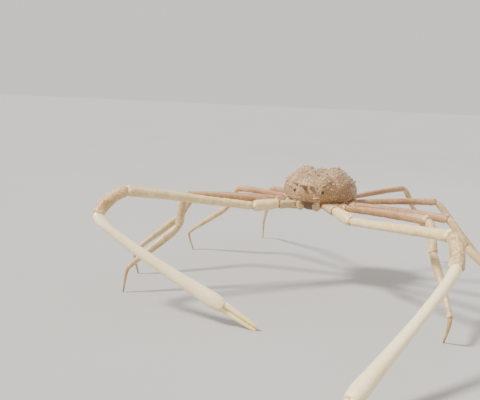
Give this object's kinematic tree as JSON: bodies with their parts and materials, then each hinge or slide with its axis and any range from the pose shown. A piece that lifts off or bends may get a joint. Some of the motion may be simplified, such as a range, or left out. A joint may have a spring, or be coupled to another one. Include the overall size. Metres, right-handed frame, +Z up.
{
  "type": "japanese spider crab specimen",
  "caption": "Dried museum specimen of a large male japanese spider crab, standing on long jointed legs with its long claws reaching forward to the floor.",
  "frame": {"origin": "on the floor, under the middle of the whole specimen's box", "axes": "+Z up, -Y the way the crab faces, +X its left side; +Y runs from the tip of its forward claw to its hind feet"},
  "size_m": [1.635, 2.019, 0.5192],
  "materials": {
    "back": "dry, granular shell, matte",
    "underside": "dry shell, matte",
    "arm": "dry shell, satin",
    "wrist": "dry shell with brown mottling, satin",
    "palm": "smooth dry shell, satin",
    "leg": "dry shell, satin",
    "shin": "dry shell, satin",
    "foot": "dry shell, matte",
    "eye": "glossy"
  },
  "bodies": {
    "root": {"claw_right_ischium": "arm", "claw_right_merus": "arm", "claw_right_carpus": "wrist", "claw_right_palm": "palm", "claw_right_finger": "palm", "leg_2_right_ischium": "leg", "leg_2_right_merus": "leg", "leg_2_right_carpus": "shin", "leg_2_right_propodus": "shin", "leg_2_right_dactyl": "foot", "leg_3_right_ischium": "leg", "leg_3_right_merus": "leg", "leg_3_right_carpus": "shin", "leg_3_right_propodus": "shin", "leg_3_right_dactyl": "foot", "leg_4_right_ischium": "leg", "leg_4_right_merus": "leg", "leg_4_right_carpus": "shin", "leg_4_right_propodus": "shin", "leg_4_right_dactyl": "foot", "leg_5_right_ischium": "leg", "leg_5_right_merus": "leg", "leg_5_right_carpus": "shin", "leg_5_right_propodus": "shin", "leg_5_right_dactyl": "foot", "claw_left_ischium": "arm", "claw_left_merus": "arm", "claw_left_carpus": "wrist", "claw_left_palm": "palm", "claw_left_finger": "palm", "leg_2_left_ischium": "leg", "leg_2_left_merus": "leg", "leg_2_left_carpus": "shin", "leg_2_left_propodus": "shin", "leg_2_left_dactyl": "foot", "leg_3_left_ischium": "leg", "leg_3_left_merus": "leg", "leg_3_left_carpus": "shin", "leg_3_left_propodus": "shin", "leg_3_left_dactyl": "foot", "leg_4_left_ischium": "leg", "leg_4_left_merus": "leg", "leg_4_left_carpus": "shin", "leg_4_left_propodus": "shin", "leg_4_left_dactyl": "foot", "leg_5_left_ischium": "leg", "leg_5_left_merus": "leg", "leg_5_left_carpus": "shin", "leg_5_left_propodus": "shin", "leg_5_left_dactyl": "foot", "eye_right": "eye", "antenna_right": "arm", "maxilliped_right": "underside", "eye_left": "eye", "antenna_left": "arm", "maxilliped_left": "underside", "abdomen": "underside", "carapace": "back", "thorax": "underside"}
  },
  "joints": []
}
